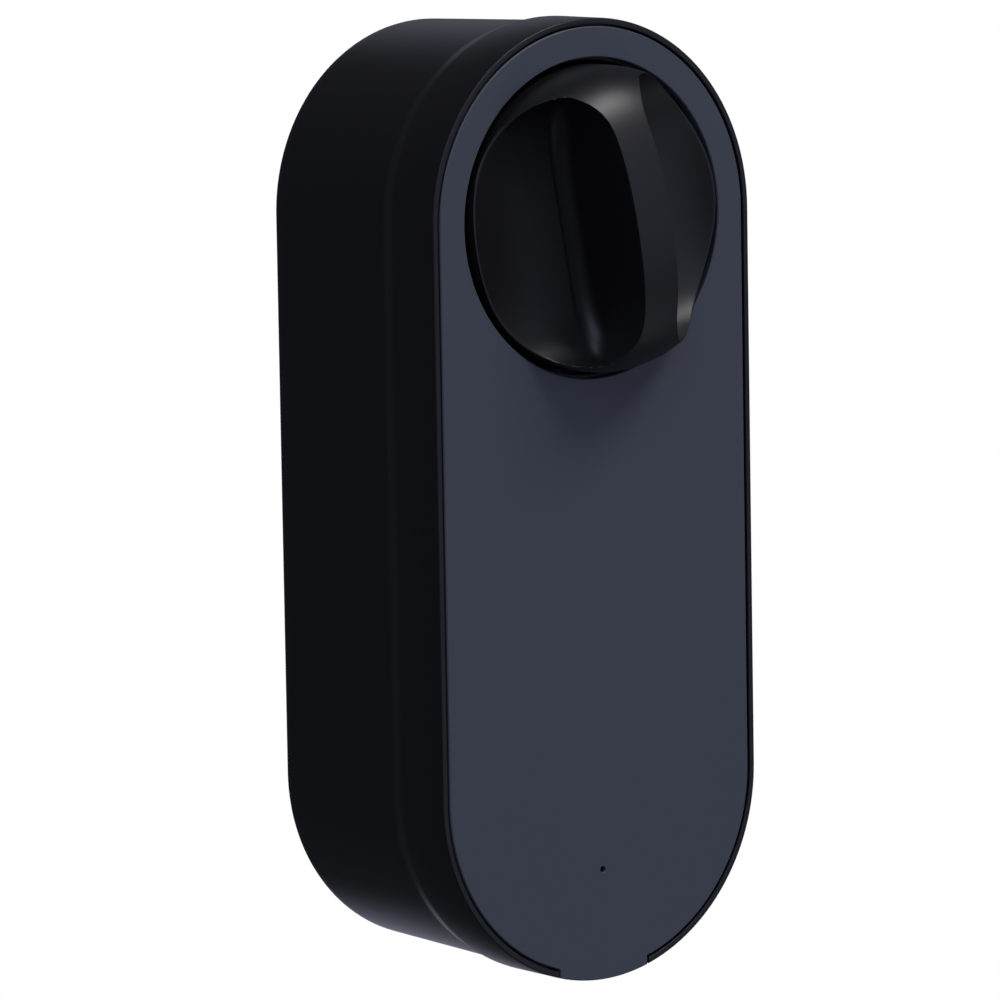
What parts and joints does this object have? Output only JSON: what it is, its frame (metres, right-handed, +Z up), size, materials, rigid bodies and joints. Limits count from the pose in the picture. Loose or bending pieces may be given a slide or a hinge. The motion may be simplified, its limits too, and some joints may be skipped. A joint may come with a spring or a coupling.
{
  "type": "smart lock drive unit",
  "caption": "Pill-shaped indoor lock drive unit for a door, with a round thumb-turn knob, a pull-off front plate and a gear train over the lock cylinder.",
  "frame": {"origin": "centre of the mounting plate's door-side face", "axes": "+Y into the door, -Y towards the room, +Z up, +X to the right for someone facing the door"},
  "size_m": [0.062, 0.0593, 0.1508],
  "materials": {
    "matte_black_plastic": "fine-grained matte",
    "anodised_plate": "dark blue-grey anodised, satin",
    "carrier_plastic": "matte",
    "knob_plastic": "satin black",
    "bright_steel": "machined",
    "black_zinc": "black zinc",
    "gear_brass": "cut teeth",
    "bushing_bronze": "sintered",
    "magnet_nickel": "nickel plated",
    "ring_ferrite": "sintered",
    "gear_nylon": "moulded",
    "board_laminate": "solder mask",
    "component_epoxy": "moulded",
    "clear_pipe": "polished clear",
    "button_rubber": "soft touch",
    "cell_sleeve": "printed sleeve",
    "ribbon_weave": "woven"
  },
  "bodies": {
    "base": {"battery_cell_1": "cell_sleeve", "battery_cell_2": "cell_sleeve", "battery_cell_3": "cell_sleeve", "battery_cell_4": "cell_sleeve", "battery_tray": "carrier_plastic", "buzzer": "component_epoxy", "clamp_screw_1": "bright_steel", "clamp_screw_2": "bright_steel", "clamp_screw_3": "bright_steel", "contact_strip_bottom": "magnet_nickel", "contact_strip_top": "magnet_nickel", "frame_screw_1": "black_zinc", "frame_screw_2": "black_zinc", "frame_screw_3": "black_zinc", "frame_screw_4": "black_zinc", "gear_motor": "bright_steel", "gearbox_plate": "bright_steel", "gearbox_screw_1": "bright_steel", "gearbox_screw_2": "bright_steel", "gearbox_screw_3": "bright_steel", "housing": "matte_black_plastic", "idler_axle": "bright_steel", "inner_frame": "carrier_plastic", "light_pipe": "clear_pipe", "main_board": "board_laminate", "motor_screw_1": "black_zinc", "motor_screw_2": "black_zinc", "mounting_plate": "black_zinc", "pull_ribbon": "ribbon_weave", "radio_module": "board_laminate", "sensor_board": "board_laminate", "shaft_bushing": "bushing_bronze", "status_board": "board_laminate"},
    "plate": {"front_plate": "anodised_plate", "plate_magnet_1": "magnet_nickel", "plate_magnet_2": "magnet_nickel", "plate_magnet_3": "magnet_nickel", "plate_magnet_4": "magnet_nickel"},
    "knob": {"thumbturn_knob": "knob_plastic", "knob_shaft": "bright_steel", "retaining_clip": "bright_steel", "encoder_magnet": "ring_ferrite", "output_gear": "gear_brass", "cylinder_coupler": "black_zinc"},
    "idler": {"idler_gear": "gear_nylon"},
    "pinion": {"motor_pinion": "gear_brass"},
    "button": {"reset_button": "button_rubber"},
    "latch": {"release_latch": "carrier_plastic"}
  },
  "joints": [
    {"name": "knob_turn", "type": "hinge", "parent": "base", "child": "knob", "pos_m": [0, 0, 0.0444], "axis": [0, 1, 0], "continuous": true},
    {"name": "idler_spin", "type": "hinge", "parent": "base", "child": "idler", "pos_m": [-0.01337, 0, 0.02899], "axis": [0, 1, 0], "continuous": true},
    {"name": "pinion_spin", "type": "hinge", "parent": "base", "child": "pinion", "pos_m": [0, 0, 0.0222], "axis": [0, 1, 0], "continuous": true},
    {"name": "plate_pull", "type": "slide", "parent": "base", "child": "plate", "axis": [0, -1, 0], "range_m": [0, 0.05]},
    {"name": "button_press", "type": "slide", "parent": "base", "child": "button", "axis": [0, 1, 0], "range_m": [0, 0.0006], "stiffness_N_per_m": 500, "springref_m": -0.0005},
    {"name": "latch_release", "type": "slide", "parent": "base", "child": "latch", "axis": [0, -1, 0], "range_m": [0, 0.003], "stiffness_N_per_m": 300, "springref_m": -0.002}
  ],
  "couplings": [
    {"joint": "idler_spin", "follows": "knob_turn", "ratio": -3.8571},
    {"joint": "pinion_spin", "follows": "knob_turn", "ratio": 9.9184}
  ]
}
